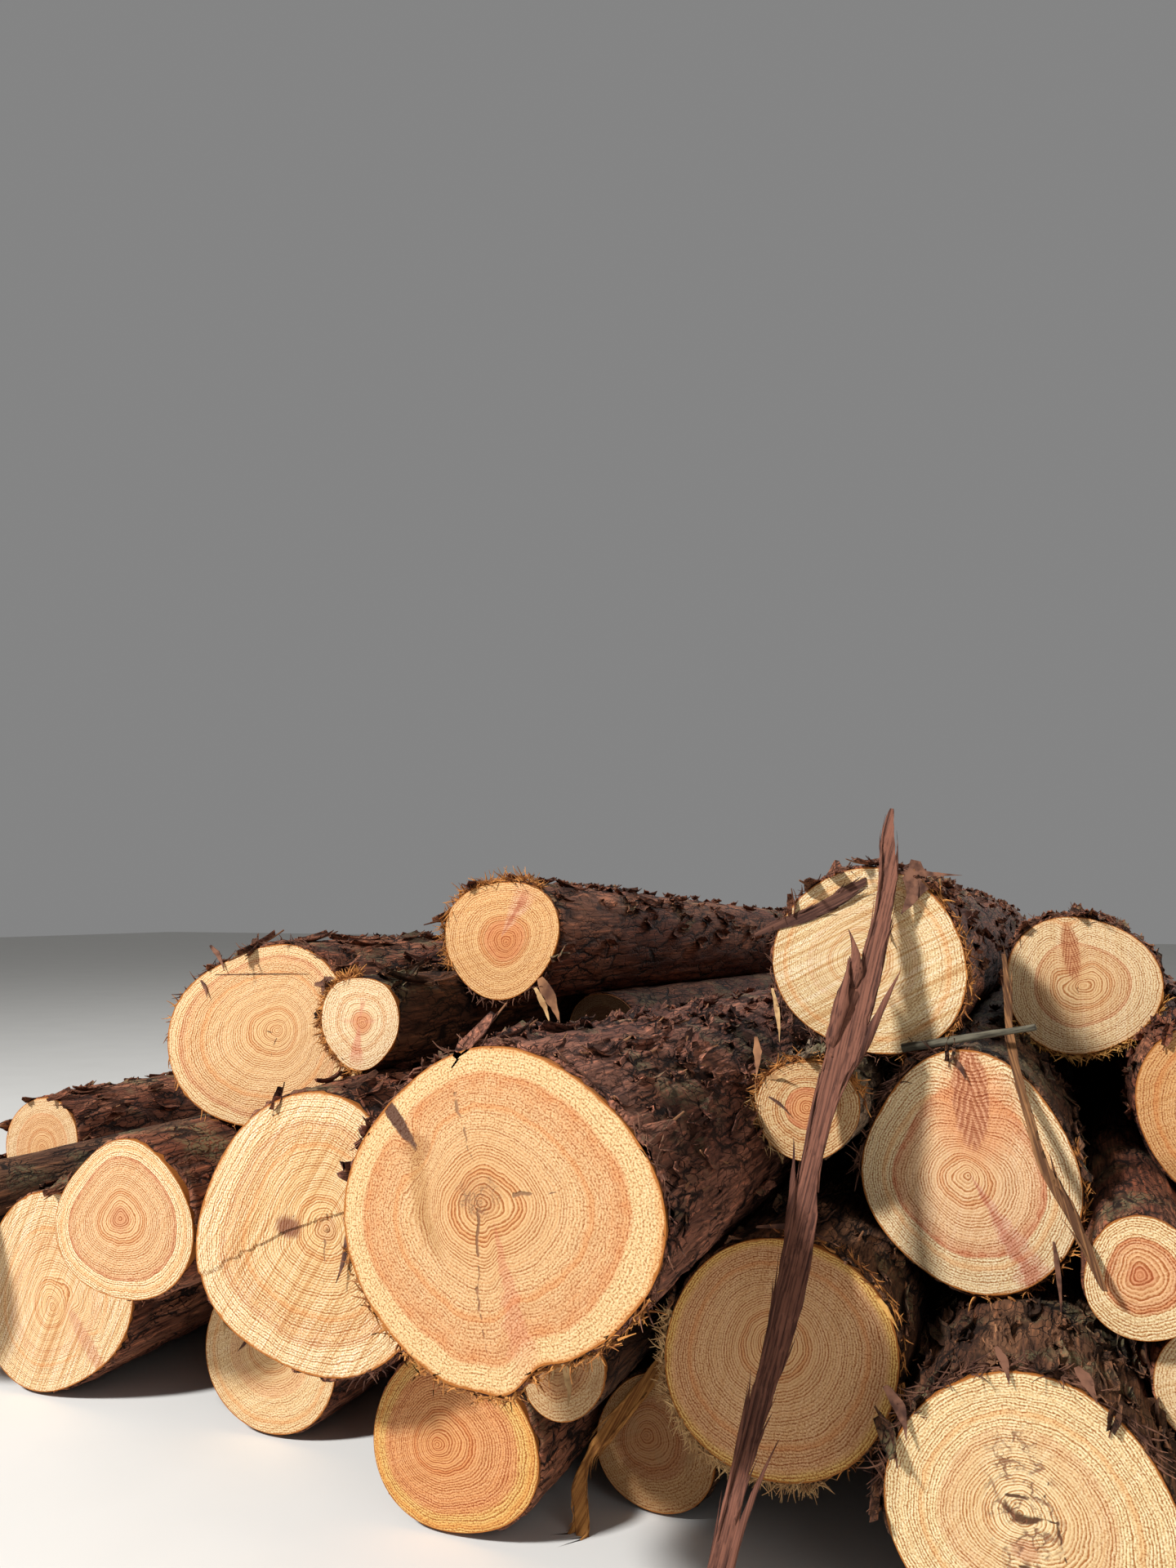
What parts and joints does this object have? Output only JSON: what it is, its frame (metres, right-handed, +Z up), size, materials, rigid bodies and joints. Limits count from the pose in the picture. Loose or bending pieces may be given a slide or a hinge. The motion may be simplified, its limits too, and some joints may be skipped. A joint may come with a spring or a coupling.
{
  "type": "stack of logs",
  "caption": "Free-standing stack of round sawn logs with bark on, lying parallel on the ground, cut ends to the front, with loose bark strips leaning on it.",
  "frame": {"origin": "centre of the stack's footprint box, on the ground that the lowest logs rest on", "axes": "+Z up; +Y along the logs, away from the cut ends at the front; +X to the right seen from the front"},
  "size_m": [4.0006, 5.105, 1.2615],
  "materials": {
    "log": "sawn ends, bark on the sides",
    "loose_bark": "fibrous bark",
    "inner_bark": "fibrous inner bark",
    "grey_stick": "weathered"
  },
  "bodies": {
    "root": {"bark_strip_dark": "loose_bark", "bark_strip_gold": "inner_bark", "bark_strip_long": "loose_bark", "bark_strip_thin": "loose_bark", "log_big": "log", "log_egg": "log", "log_far_left": "log", "log_ground_dark": "log", "log_ground_left": "log", "log_ground_pale": "log", "log_ground_right": "log", "log_ground_shaded": "log", "log_heart_ring": "log", "log_hidden_left_a": "log", "log_hidden_left_b": "log", "log_hidden_middle": "log", "log_hidden_right_a": "log", "log_hidden_right_b": "log", "log_hidden_right_upper": "log", "log_oval": "log", "log_right_edge": "log", "log_right_small": "log", "log_right_upper": "log", "log_sloped": "log", "log_small_hidden": "log", "log_small_middle": "log", "log_small_upper": "log", "log_stepped": "log", "log_top_left": "log", "log_top_middle": "log", "log_top_right": "log", "log_yellow": "log", "stick_grey": "grey_stick"}
  },
  "joints": []
}
